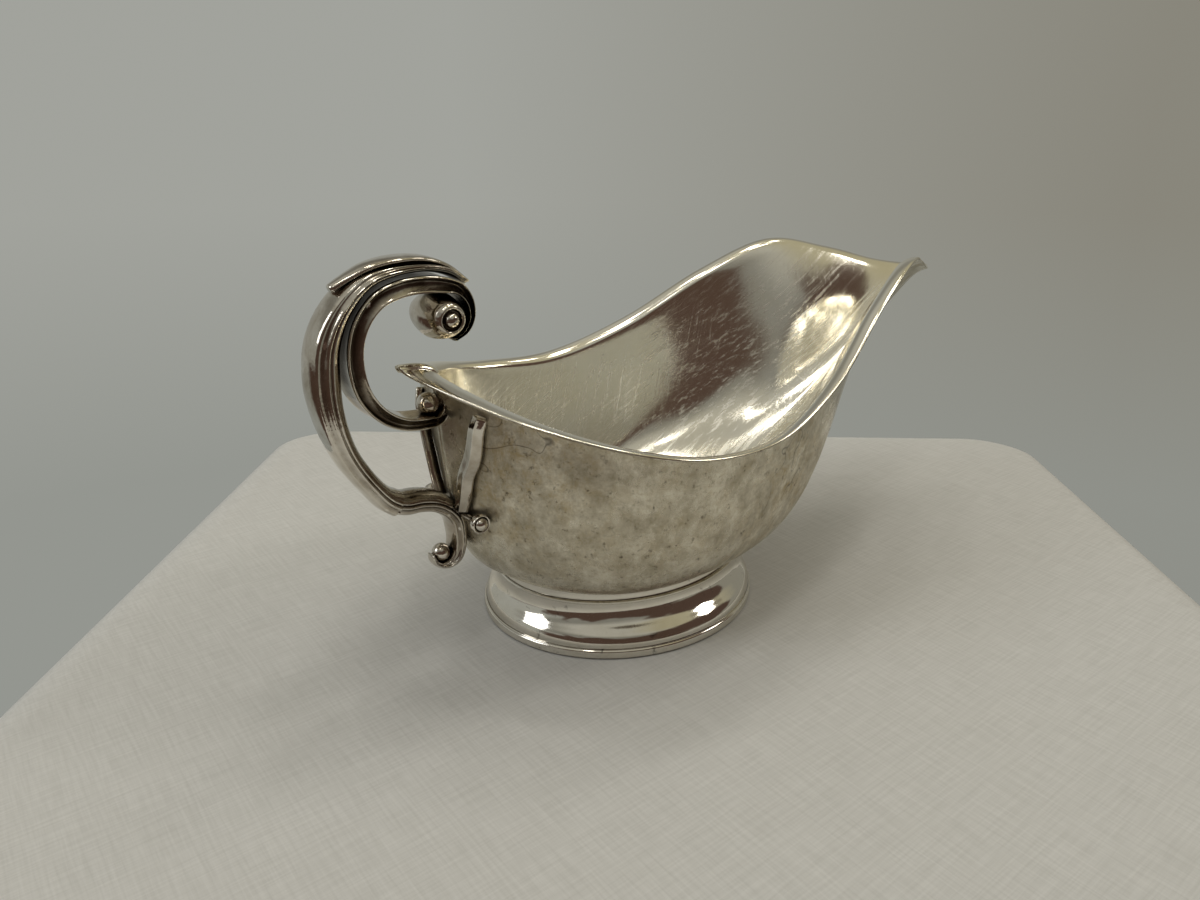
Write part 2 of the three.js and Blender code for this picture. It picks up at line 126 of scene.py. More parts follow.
# Handle: its depth is measured from the bowl's wall at a height of 38, where the wall is HANDLE_ROOT
# away from the foot's middle. Its pieces have their place as shares: out along the depth, and up from
# the lower bead to the upper one, or to the rim's handle end.
HANDLE_ROOT = 49.44
HANDLE_DEPTH = 33.4
HANDLE_BACK = 3.5
HANDLE_LOW, HANDLE_HIGH = 28.8, 85.8
SOLDER = 0.3
VOLUTE = {"out": 0.079, "up": 1, "radius": 5.2, "half": 7.1, "recess": 0.9}
VOLUTE_FLOOR = VOLUTE["half"] - VOLUTE["recess"]
EYE = {"radius": 1.75, "height": 2.0, "floor": VOLUTE_FLOOR}
RIM_BEAD = {"out": 0.187, "to_rim": 0.791, "radius": 2.0, "ball": 2.6}
TAIL_BEAD = {"out": 0.172, "up": 0, "radius": 1.8, "ball": 2.2}
BALL_STRETCH = 1.06
BUTTON = {"out": 0.034, "up": 0.182}
CUP_BEAD = {"radius": 1.65, "height": 1.8, "floor": 11.5}
DOME_SINK = 0.15
STRUT_THICK, STRUT_TURN = 1.5, 60

# Lengths of a bar's rounded ends, and how much darker the tail is painted beside the other bars, as
# painted shade
BAR_ENDS, STRUT_ENDS = (0.6, 0.6), (0.3, 0.5)
TAIL_PAINTED_SHADE = 0.25

# Seat of the handle on the bowl: up to what distance and height its vertices are looked at, and how far
# they may sink into the sheet
SEAT_REACH, SEAT_TOP, SEAT_SINK = 6, 72.5, 0.25


def blend(a, b, share):
    return a + (b - a) * share


def smooth(value):
    share = min(max(value, 0.0), 1.0)
    return share * share * (3 - 2 * share)


# Splines

def cubic(p1, p2, slope1, slope2, w):
    a = 2 * p1 - 2 * p2 + slope1 + slope2
    b = -3 * p1 + 3 * p2 - 2 * slope1 - slope2
    return ((a * w + b) * w + slope1) * w + p1


def spline(points, t, closed=False, even=True):
    """A point on a Catmull-Rom spline. An even one is uniform, the other centripetal."""
    count = len(points)
    place = (count if closed else count - 1) * t
    i = int(math.floor(place))
    w = place - i
    if closed:
        p0, p1, p2, p3 = (points[(i + k) % count] for k in (-1, 0, 1, 2))
    else:
        if i >= count - 1:
            i, w = count - 2, 1.0
        p1, p2 = points[i], points[i + 1]
        p0 = points[i - 1] if i > 0 else 2 * points[0] - points[1]
        p3 = points[i + 2] if i + 2 < count else 2 * points[-1] - points[-2]
    if even:
        return cubic(p1, p2, (p2 - p0) / 2, (p3 - p1) / 2, w)
    gaps = ((p0, p1), (p1, p2), (p2, p3))
    d0, d1, d2 = (max(float(np.linalg.norm(b - a)), 1e-8) ** 0.5 for a, b in gaps)
    s1 = ((p1 - p0) / d0 - (p2 - p0) / (d0 + d1) + (p2 - p1) / d1) * d1
    s2 = ((p2 - p1) / d1 - (p3 - p1) / (d1 + d2) + (p3 - p2) / d2) * d1
    return cubic(p1, p2, s1, s2, w)


def smooth_line(points, per_gap, closed=False):
    """More points along a smooth line through the given ones."""
    points = [np.array(p, float) for p in points]
    steps = (len(points) if closed else len(points) - 1) * per_gap
    return [spline(points, k / steps, closed) for k in range(steps if closed else steps + 1)]


# Meshes

def grid_faces(count, columns, loop=False):
    """Faces between neighbouring rings of points, and from the last ring to the first for a loop."""
    faces = []
    for i in range(count if loop else count - 1):
        here, there = i * columns, ((i + 1) % count) * columns
        for j in range(columns):
            k = (j + 1) % columns
            faces.append((here + j, here + k, there + k, there + j))
    return faces


def add_mesh(name, rings, nodes, caps=None, values=None, slot="cast_silver", sharp=SHARP_BAR):
    """Skins rings of points (lists of equal length) into one closed mesh in the row frame.

    The rings end in a point at each side, or the last one joins the first if no caps are given. The
    values say how deep each point lies in a hollow.
    """
    rings = np.array(rings, float)
    count, columns = rings.shape[:2]
    points = list(rings.reshape(-1, 3))
    faces = grid_faces(count, columns, loop=caps is None)
    if caps is not None:
        first, last = len(points), len(points) + 1
        points += [np.array(cap, float) for cap in caps]
        top = (count - 1) * columns
        for j in range(columns):
            k = (j + 1) % columns
            faces.append((first, k, j))
            faces.append((last, top + j, top + k))
    points = np.array(points) * MM + FOOT_MIDDLE
    mesh = bpy.data.meshes.new(name)
    mesh.from_pydata([tuple(p) for p in points], [], faces)
    mesh.validate()
    outward(mesh)
    if values is not None:
        values = np.array(values, float).reshape(-1)
        values = np.concatenate([values, np.zeros(len(points) - len(values))])
        hollow = mesh.attributes.new("hollow", "FLOAT", "POINT")
        hollow.data.foreach_set("value", values.astype(np.float32))
    mesh.shade_smooth()
    mesh.set_sharp_from_angle(angle=math.radians(sharp))
    piece = bpy.data.objects.new(name, mesh)
    bpy.context.scene.collection.objects.link(piece)
    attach(piece, "root")
    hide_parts(*nodes)
    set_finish(piece, slot)


def outward(mesh):
    """Turns the faces round if they enclose a negative volume."""
    volume = 0.0
    for face in mesh.polygons:
        corners = [mesh.vertices[v].co for v in face.vertices]
        for a, b in zip(corners[1:], corners[2:]):
            volume += corners[0].dot(a.cross(b))
    if volume < 0:
        mesh.flip_normals()


# Bowl

def rim_point(station, side):
    along, half, height = station
    reach = SPOUT_REACH if along > 0 else RIM_END
    return np.array([along * reach, side * half * RIM_HALF, height])


rim_points = [rim_point(s, 1) for s in RIM] + [rim_point(s, -1) for s in reversed(RIM[1:-1])]


def wall_line(angle, throat, out, lean):
    """Points from the bowl's base up to the throat below the lip, on one Bezier curve."""
    c = math.cos(angle)
    spout, handle = smooth(c), smooth(-c)
    turn = angle - BASE_SHIFT * math.sin(2 * angle) * (1 + c) / 2
    start = np.array([BASE_LONG * math.cos(turn), BASE_WIDE * math.sin(turn), BOWL_START])
    start_angle = math.radians(WALL_START["side"] + WALL_START["more_at_spout"] * spout
                               + WALL_START["more_at_handle"] * handle)
    low = (throat - start) * [1, 1, 0] * blend(WALL_PULL["low"], WALL_PULL["low_spout"], spout)
    low[2] = float(np.linalg.norm(low)) * math.tan(start_angle)
    low += start
    drop = blend(WALL_PULL["high"], WALL_PULL["high_spout"], spout) * (throat[2] - start[2])
    high = throat - out * math.tan(lean) * drop
    high[2] -= drop
    high[1] *= 1 - SPOUT_PINCH * spout
    line = []
    for i in range(WALL_ROWS + 1):
        t = i / WALL_ROWS
        r = 1 - t
        line.append(r ** 3 * start + 3 * r * r * t * low + 3 * r * t * t * high + t ** 3 * throat)
    return line


def lip_line(throat, out, width, rise, lean):
    """Points from the throat out to the rim's edge, on an elliptic arc that ends level."""
    across, upward = width / math.cos(lean), rise / (1 - math.sin(lean))
    line = []
    for i in range(1, LIP_ROWS + 1):
        turned_by = blend(lean, math.pi / 2, i / LIP_ROWS)
        point = throat + out * across * (math.cos(lean) - math.cos(turned_by))
        point[2] += upward * (math.sin(turned_by) - math.sin(lean))
        line.append(point)
    return line


def bowl_line(angle):
    """Outer line of the bowl from its base to the rim at an angle from the spout, and the way out."""
    c, s = math.cos(angle), math.sin(angle)
    spout, handle = smooth(c), smooth(-c)
    edge = spline(rim_points, angle / (2 * math.pi), closed=True)
    edge[2] -= BOWL_SHEET / 2
    inward = np.array([
        LIP_WIDTH["handle"] * max(-c, 0) ** LIP_SHARPNESS["handle"]
        - LIP_WIDTH["spout"] * max(c, 0) ** LIP_SHARPNESS["spout"]
        - LIP_WIDTH["side"] * c,
        -LIP_WIDTH["side"] * s,
        0,
    ])
    width = float(np.linalg.norm(inward))
    out = -inward / width
    rise = LIP_RISE["least"] + LIP_RISE["scale"] * width ** LIP_RISE["power"]
    lean = math.radians(blend(WALL_LEAN["side"] - WALL_LEAN["less_at_handle"] * handle,
                              WALL_LEAN["spout"], spout))
    throat = edge + inward
    throat[2] = edge[2] - rise
    return wall_line(angle, throat, out, lean) + lip_line(throat, out, width, rise, lean), out


def bowl_grid():
    """Rows of the outer side from the middle of the bottom to the rim, and the way out at each column."""
    lines, outs = [], []
    for j in range(BOWL_COLUMNS):
        line, out = bowl_line(2 * math.pi * j / BOWL_COLUMNS)
        bottom = []
        for i in range(1, BOTTOM_ROWS):
            share = i / BOTTOM_ROWS
            height = BOWL_START - BASE_SAG * (1 - share * share)
            bottom.append(np.array([line[0][0] * share, line[0][1] * share, height]))
        lines.append(bottom + line)
        outs.append(out)
    return np.array(lines).transpose(1, 0, 2), np.array(outs)


def normals(rows):
    """Unit normals at the points of the bowl's outer side, pointing out of it."""
    along = np.roll(rows, -1, 1) - np.roll(rows, 1, 1)
    up = np.empty_like(rows)
    up[1:-1] = rows[2:] - rows[:-2]
    up[0] = rows[1] - rows[0]
    up[-1] = rows[-1] - rows[-2]
    n = np.cross(along, up)
    return n / np.linalg.norm(n, axis=2, keepdims=True)


outer_rows, out_ways = bowl_grid()
outer_normals = normals(outer_rows)


def make_bowl():
    """One sheet with a rounded edge. Its values are 1 inside, past the lip, where the scratches are."""
    sheet = np.full(len(outer_rows), float(BOWL_SHEET))
    sheet[-LIP_ROWS:] = np.linspace(BOWL_SHEET, EDGE_SHEET, LIP_ROWS)
    inner_rows = outer_rows - outer_normals * sheet[:, None, None]
    outer_edge = outer_rows[-1] - out_ways * EDGE_ROUND
    inner_edge = inner_rows[-1] - out_ways * EDGE_ROUND
    middle = (outer_edge + inner_edge) / 2
    half = (inner_edge - outer_edge) / 2
    rounding = []
    for k in range(1, EDGE_ROWS + 1):
        a = math.pi * k / (EDGE_ROWS + 1)
        rounding.append(middle - half * math.cos(a) + out_ways * EDGE_ROUND * math.sin(a))
    rows = list(outer_rows[:-1]) + [outer_edge] + rounding + [inner_edge] + list(inner_rows[:-1][::-1])
    first_inner = len(outer_rows) + len(rounding) + 1
    values = []
    for i in range(len(rows)):
        past_lip = (i - first_inner - LIP_ROWS / 2) / LIP_ROWS
        values.append([smooth(past_lip)] * BOWL_COLUMNS)
    add_mesh("sheet_bowl", rows, ["bowl"], caps=((0, 0, BOWL_BOTTOM), (0, 0, BOWL_BOTTOM + BOWL_SHEET)),
             values=values, slot="bowl_silver", sharp=SHARP_BOWL)


def seat_tree():
    """The bowl's outer side as a search tree, to lay the handle's pieces against it."""
    rows = outer_rows * MM + FOOT_MIDDLE
    points = [Vector(p) for p in rows.reshape(-1, 3)]
    return BVHTree.FromPolygons(points, grid_faces(*rows.shape[:2]))


bowl_seat = seat_tree()


def seat_on_bowl(piece):
    """Moves the vertices that lie in the bowl's sheet or beyond it onto the sheet's outer side."""
    for vertex in piece.data.vertices:
        place, normal, _, _ = bowl_seat.find_nearest(vertex.co, SEAT_REACH * MM)
        if place is None or vertex.co.z > SEAT_TOP * MM:
            continue
        depth = (place - vertex.co).dot(normal)
        if depth > SEAT_SINK * MM:
            vertex.co = place - normal * SEAT_SINK * MM
    piece.data.update()


# Foot

def oval(long, wide, height):
    turns = np.linspace(0, 2 * math.pi, OVAL_COLUMNS, endpoint=False)
    return np.stack([long * np.cos(turns), wide * np.sin(turns), np.full(OVAL_COLUMNS, height)], 1)


def hoop(name, section, nodes):
    add_mesh(name, [oval(*p) for p in section], nodes, slot="foot_silver", sharp=SHARP_FOOT)


def make_foot():
    """The pressed foot, from shares in towards the bowl's base and up towards the foot's top."""
    curve = [(0, 0), (0.01, 0.114), (0.17, 0.246), (0.46, 0.36), (0.76, 0.474), (1.0, 0.614),
             (1.11, 0.763), (1.11, 0.904)]
    step = [(1.06, 0.915), (0.9, 0.922), (0.84, 0.935), (0.81, 0.96), (0.82, 0.985), (0.88, 1)]
    shares = smooth_line(curve, FOOT_GAP_STEPS) + [np.array(p) for p in step]
    outer = [(blend(FOOT_LONG, BASE_LONG, i), blend(FOOT_WIDE, BASE_WIDE, i),
              blend(BAND_HEIGHT, FOOT_TOP, u)) for i, u in shares]
    inner = []
    for (_, up), (long, wide, height) in zip(shares, outer):
        inset = FOOT_SHEET + (FLANGE if up > FLANGE_START else 0)
        inner.append((long - inset, wide - inset, height))
    hoop("pedestal_foot", outer + inner[::-1], ["foot"])


def make_collar():
    low = FOOT_TOP
    high = BOWL_START - BASE_SAG * (1 - (1 - COLLAR_WALL / BASE_LONG) ** 2) - SOLDER
    section = [(0, low), (0.12, low + 0.35), (0.02, low + 0.75), (0, blend(low, high, 0.6)),
               (0, high), (-COLLAR_WALL, high), (-COLLAR_WALL, low)]
    hoop("oval_collar", [(BASE_LONG + o, BASE_WIDE + o, h) for o, h in section], ["foot_collar"])


def make_band():
    """The band round the foot, from how far it stands out at shares of its height."""
    profile = [(0.3, 0), (0.55, 0.05), (0.68, 0.14), (0.7, 0.24), (0.7, 0.62), (0.67, 0.74),
               (0.58, 0.83), (0.42, 0.89), (0.3, 0.92), (0.22, 0.97), (0.2, 1)]
    outer = [(FOOT_LONG + proud, FOOT_WIDE + proud, up * BAND_HEIGHT) for proud, up in profile]
    inner = [(FOOT_LONG - BAND_SHEET, FOOT_WIDE - BAND_SHEET, height) for height in (BAND_HEIGHT, 0)]
    hoop("foot_edge_band", outer + inner, ["foot_band"])


# Handle

def place_x(out):
    return -(HANDLE_ROOT + out * HANDLE_DEPTH)


def place_z(item):
    if "to_rim" in item:
        return blend(HANDLE_LOW, RIM_END_HEIGHT, item["to_rim"])
    return blend(HANDLE_LOW, HANDLE_HIGH, item["up"])


def middle_of(item):
    return np.array([place_x(item["out"]), 0, place_z(item)])


def stations(rows, height="up"):
    """Rows of (out, height, half thickness, half width) as places and sizes."""
    return [(middle_of({"out": out, height: share}), np.array([thick, wide]))
            for out, share, thick, wide in rows]


def winding(bead, turns):
    """Rows of (degrees round a bead, half thickness, half width) as places and sizes."""
    result = []
    for degrees, thick, wide in turns:
        angle = math.radians(degrees)
        radius = bead["radius"] + SOLDER + thick
        place = middle_of(bead) + radius * np.array([math.cos(angle), 0, math.sin(angle)])
        result.append((place, np.array([thick, wide])))
    return result


def mirrored(half):
    return half + [(o, -s) for o, s in reversed(half[1:-1])]


# Sections of the handle's bars, as shares of the half thickness and the half width
FLUTED = mirrored([
    (1.0, 0), (0.985, 0.18), (0.93, 0.38), (0.83, 0.56), (0.68, 0.72), (0.5, 0.84), (0.32, 0.9),
    (0.2, 0.91), (0.12, 0.87), (0.06, 0.87), (0.03, 0.93), (-0.03, 0.99), (-0.12, 1.0), (-0.21, 0.95),
    (-0.3, 0.86), (-0.42, 0.8), (-0.55, 0.79), (-0.67, 0.8), (-0.78, 0.75),
    (-0.88, 0.6), (-0.96, 0.34), (-1.0, 0),
])
HOLLOW = mirrored([
    (1.0, 0), (1.0, 0.4), (1.0, 0.66), (0.98, 0.82), (0.92, 0.93), (0.82, 0.98), (0.7, 0.96),
    (0.55, 0.89), (0.3, 0.8), (0.0, 0.73), (-0.25, 0.7), (-0.45, 0.72), (-0.6, 0.82), (-0.68, 0.93),
    (-0.78, 0.99), (-0.9, 1.0), (-1.0, 0.94), (-1.02, 0.82), (-0.95, 0.66), (-0.84, 0.36), (-0.8, 0),
])
STRAP = mirrored([
    (1.0, 0), (0.97, 0.3), (0.88, 0.58), (0.68, 0.82), (0.4, 0.96), (0.1, 1.0), (-0.2, 0.97),
    (-0.4, 0.86), (-0.52, 0.74), (-0.75, 0.66), (-1.5, 0.62), (-1.8, 0.5), (-1.8, 0),
])
RIBBON = mirrored([
    (1.0, 0), (0.86, 0.12), (0.5, 0.62), (0.26, 0.92), (0.1, 1.0), (-0.2, 1.0), (-0.5, 0.94),
    (-0.66, 0.8), (-0.72, 0.5), (-0.74, 0),
])

# Rounding of a bar's end: share of the end's length, and of the section's size there
BAR_END = [(0.4, 0.95), (0.8, 0.8), (1.0, 0.55)]


def hull_depths(section):
    """How far each point of a section lies inside the section's convex outline."""
    points = sorted({(round(float(x), 6), round(float(y), 6)) for x, y in section})

    def half_hull(items):
        chain = []
        for p in items:
            while len(chain) > 1:
                (ax, ay), (bx, by) = chain[-2], chain[-1]
                if (bx - ax) * (p[1] - ay) - (by - ay) * (p[0] - ax) > 0:
                    break
                chain.pop()
            chain.append(p)
        return chain[:-1]

    hull = half_hull(points) + half_hull(points[::-1])
    depths = []
    for x, y in section:
        inside = []
        for (ax, ay), (bx, by) in zip(hull, hull[1:] + hull[:1]):
            length = math.hypot(bx - ax, by - ay)
            inside.append(((bx - ax) * (y - ay) - (by - ay) * (x - ax)) / max(length, 1e-9))
        depths.append(max(min(inside), 0.0))
    return depths


def heading(places, t):
    """Unit direction of the line through some places at a share of its length."""
    before, after = max(t - 1e-4, 0), min(t + 1e-4, 1)
    ahead = spline(places, after, even=False) - spline(places, before, even=False)
    return ahead / np.linalg.norm(ahead)


def bar(name, line, section, steps, nodes, side=(0, 1, 0), ends=BAR_ENDS, painted_shade=0.0):
    """A bar with a shaped section along a line of stations, with rounded ends."""
    places = [p for p, _ in line]
    sizes = [s for _, s in line]
    section = smooth_line(section, SECTION_GAP_STEPS, closed=True)
    depths = hull_depths(section)
    side = np.array(side, float)
    rings, values = [], []
    for i in range(steps + 1):
        t = i / steps
        centre = spline(places, t, even=False)
        ahead = heading(places, t)
        across = side - ahead * side.dot(ahead)
        across /= np.linalg.norm(across)
        out = np.cross(ahead, across)
        thick, wide = spline(sizes, t)
        rows = [(0.0, 1.0)]
        if i == 0:
            rows = [(-ends[0] * shift, size) for shift, size in reversed(BAR_END)] + rows
        if i == steps:
            rows += [(ends[1] * shift, size) for shift, size in BAR_END]
        for shift, size in rows:
            middle = centre + ahead * shift
            rings.append([middle + out * o * thick * size + across * s * wide * size
                          for o, s in section])
            # Each value: the bar's painted shade plus the depth inside the section's convex outline,
            # which the material darkens as oxide and painted shade
            values.append([painted_shade + d * 0.5 * (thick + wide) for d in depths])
    caps = (np.mean(rings[0], 0), np.mean(rings[-1], 0))
    add_mesh(name, rings, nodes, caps=caps, values=values)


OUTER_LINE = stations([
    (-0.102, 1.123, 0.5, 3.0), (0.026, 1.172, 1.0, 4.0), (0.251, 1.196, 1.1, 4.6),
    (0.559, 1.17, 1.7, 4.8), (0.745, 1.084, 2.5, 5.0), (0.862, 0.961, 3.2, 5.0),
    (1 - HANDLE_BACK / HANDLE_DEPTH, 0.819, HANDLE_BACK, 5.0), (0.886, 0.714, 3.2, 5.0),
    (0.835, 0.582, 2.8, 4.9), (0.769, 0.488, 2.6, 4.8), (0.649, 0.374, 2.5, 4.7),
    (0.568, 0.314, 2.75, 4.75), (0.5, 0.284, 2.95, 4.85),
])
INNER_LINE = (
    winding(VOLUTE, [(-62, 0.3, 3.8), (-35, 0.45, 4.6), (-5, 0.65, 5.0), (30, 0.95, 5.3),
                     (62, 1.4, 5.5), (92, 1.75, 5.5)])
    + stations([(0.239, 1.137, 1.9, 5.1), (0.389, 1.13, 1.95, 4.8), (0.53, 1.1, 1.9, 4.6),
                (0.64, 1.034, 1.85, 4.5), (0.7, 0.95, 1.8, 4.5), (0.709, 0.849, 1.8, 4.5),
                (0.665, 0.749, 1.75, 4.5)])
    + stations([(0.553, 0.799, 1.6, 4.4), (0.403, 0.738, 1.4, 4.2)], height="to_rim")
    + winding(RIM_BEAD, [(-112, 1.25, 4.0), (-72, 1.0, 3.8), (-35, 0.8, 3.6), (-8, 0.5, 3.4)])
)
TAIL_LINE = (
    stations([(0.491, 0.282, 2.55, 4.35), (0.431, 0.272, 2.6, 4.4), (0.335, 0.267, 2.55, 4.4),
              (0.221, 0.247, 2.45, 4.35), (0.119, 0.204, 2.35, 4.2), (0.056, 0.149, 2.2, 4.0),
              (0.038, 0.088, 2.1, 3.8), (0.038, 0.032, 1.9, 3.6)])
    + winding(TAIL_BEAD, [(-25, 1.7, 3.4), (-60, 1.3, 3.1), (-95, 0.95, 2.8), (-135, 0.7, 2.4),
                          (-170, 0.4, 1.9)])
)
LEAF_LINE = stations([
    (0.772, 1.15, 1.05, 1.5), (0.676, 1.18, 0.95, 2.1), (0.535, 1.213, 0.95, 2.9),
    (0.341, 1.2285, 0.85, 3.6), (0.161, 1.22, 0.8, 3.7), (0.012, 1.186, 0.7, 3.3),
    (-0.126, 1.125, 0.5, 2.5),
])

# Struts: share out, distance from the middle, share up to the rim, and half width
STRUT_LINE = [
    (0.065, 5.0, 0.258, 1.8), (0.07, 6.6, 0.337, 1.9), (0.073, 8.5, 0.456, 2.0),
    (0.062, 10.9, 0.552, 2.1), (0.058, 12.1, 0.630, 2.0), (0.057, 13.0, 0.705, 1.9),
    (0.035, 13.7, 0.770, 1.8),
]


def turned(name, profile, bead, nodes, columns, sign=1, hollow=None):
    """A turned piece on an axis along Y, from a profile of (radius, distance along the axis)."""
    centre = middle_of(bead)
    hollow = hollow or [0.0] * len(profile)
    turns = np.linspace(0, 2 * math.pi, columns, endpoint=False)
    rings = []
    for radius, along in profile[1:-1]:
        ring = np.stack([np.cos(turns) * radius, np.full(columns, sign * along),
                         np.sin(turns) * radius], 1)
        rings.append(ring + centre)
    values = [[depth] * columns for depth in hollow[1:-1]]
    ends = [centre + [0, sign * along, 0] for _, along in (profile[0], profile[-1])]
    add_mesh(name, rings, nodes, caps=ends, values=values, sharp=SHARP_TURNED)


def both_ends(half):
    return half + [(r, -y) for r, y in reversed(half[:-1])]


def make_volute():
    """A barrel with rounded shoulders and a recess with a raised ring in each end."""
    half, floor = VOLUTE["half"], VOLUTE_FLOOR
    profile = [(0, floor), (1.5, floor), (2.0, floor), (2.2, floor + 0.08), (2.33, floor + 0.3),
               (2.4, half - 0.25), (2.5, half - 0.08), (2.68, half), (2.88, half - 0.02),
               (3.05, half - 0.12), (3.35, half - 0.5), (3.75, half - 1.2), (4.22, half - 2.3),
               (4.62, half - 3.6), (4.93, half - 5), (5.12, half - 6.2), (VOLUTE["radius"], 0)]
    hollow = [1.2, 1.2, 1.1, 0.9, 0.5, 0.1] + [0.0] * 11
    turned("scroll_volute", both_ends(profile), VOLUTE, ["volute"], VOLUTE_COLUMNS,
           hollow=hollow + hollow[::-1][1:])


def make_ball(name, bead, nodes):
    """A round bead, a little longer along Y than it is high."""
    profile = []
    for k in range(BALL_STEPS + 1):
        a = (math.pi / 2) * k / BALL_STEPS
        profile.append((bead["ball"] * math.sin(a), bead["ball"] * BALL_STRETCH * math.cos(a)))
    turned(name, both_ends(profile), bead, nodes, BALL_COLUMNS)


def make_dome(name, dome, bead, nodes, sign):
    """The bead in a recess, with its foot sunk a little into the recess's floor."""
    foot = dome["floor"] - DOME_SINK
    profile = [(0, foot), (dome["radius"], foot)]
    for k in range(DOME_STEPS):
        a = (math.pi / 2) * k / DOME_STEPS
        profile.append((dome["radius"] * math.cos(a), dome["floor"] + dome["height"] * math.sin(a)))
    profile.append((0, dome["floor"] + dome["height"]))
    turned(name, profile, bead, nodes, DOME_COLUMNS, sign=sign)


def make_button(name, nodes, sign):
    """A cup with a recess on a neck that narrows in its middle."""
    profile = [(0, 3.9), (1.15, 3.9), (0.95, 5.0), (0.85, 6.4), (0.86, 7.8), (1.0, 9.0), (1.4, 9.7),
               (1.85, 10.1), (2.15, 10.55), (2.28, 11.1), (2.28, 11.8), (2.22, 12.06), (2.08, 12.2),
               (1.92, 12.18), (1.8, 12.05), (1.72, 11.8), (1.5, 11.62), (0, 11.6)]
    hollow = [0.6, 0.7, 0.6, 0.5, 0.4, 0.3] + [0.0] * 8 + [0.4, 0.8, 1.0, 1.0]
    turned(name, profile, BUTTON, nodes, CUP_COLUMNS, sign=sign, hollow=hollow)


def make_strut(name, nodes, sign):
    line = []
    for out, across, to_rim, wide in STRUT_LINE:
        place = middle_of({"out": out, "to_rim": to_rim})
        place[1] = across * sign
        line.append((place, np.array([STRUT_THICK, wide])))
    turn = math.radians(STRUT_TURN)
    bar(name, line, RIBBON, STRUT_STEPS, nodes, side=(-math.cos(turn), -math.sin(turn) * sign, 0),
        ends=STRUT_ENDS)


def make_handle():
    bar("outer_scroll", OUTER_LINE, FLUTED, OUTER_STEPS, ["handle_outer_scroll"])
    bar("inner_scroll", INNER_LINE, HOLLOW, INNER_STEPS, ["handle_inner_scroll"])
    # The whole tail scroll is painted darker, as painted shade
    bar("tail_scroll_lower", TAIL_LINE, FLUTED, TAIL_STEPS, ["tail_scroll"], painted_shade=TAIL_PAINTED_SHADE)
    bar("thumb_strap", LEAF_LINE, STRAP, STRAP_STEPS, ["thumb_leaf"])
    make_volute()
    make_ball("rim_end_bead", RIM_BEAD, ["rim_bead"])
    make_ball("tail_end_bead", TAIL_BEAD, ["tail_bead"])
    for side, sign in (("left", 1), ("right", -1)):
        make_dome(f"eye_{side}", EYE, VOLUTE, [f"volute_eye_{side}"], sign)
        make_strut(f"brace_{side}", [f"strut_{side}"], sign)
        make_button(f"cup_{side}", [f"side_button_{side}"], sign)
        make_dome(f"cup_bead_{side}", CUP_BEAD, BUTTON, [f"side_bead_{side}"], sign)
    for name in ("inner_scroll", "rim_end_bead", "tail_scroll_lower", "tail_end_bead", "brace_left",
                 "brace_right", "cup_left", "cup_right"):
        seat_on_bowl(bpy.data.objects[name])


# Materials

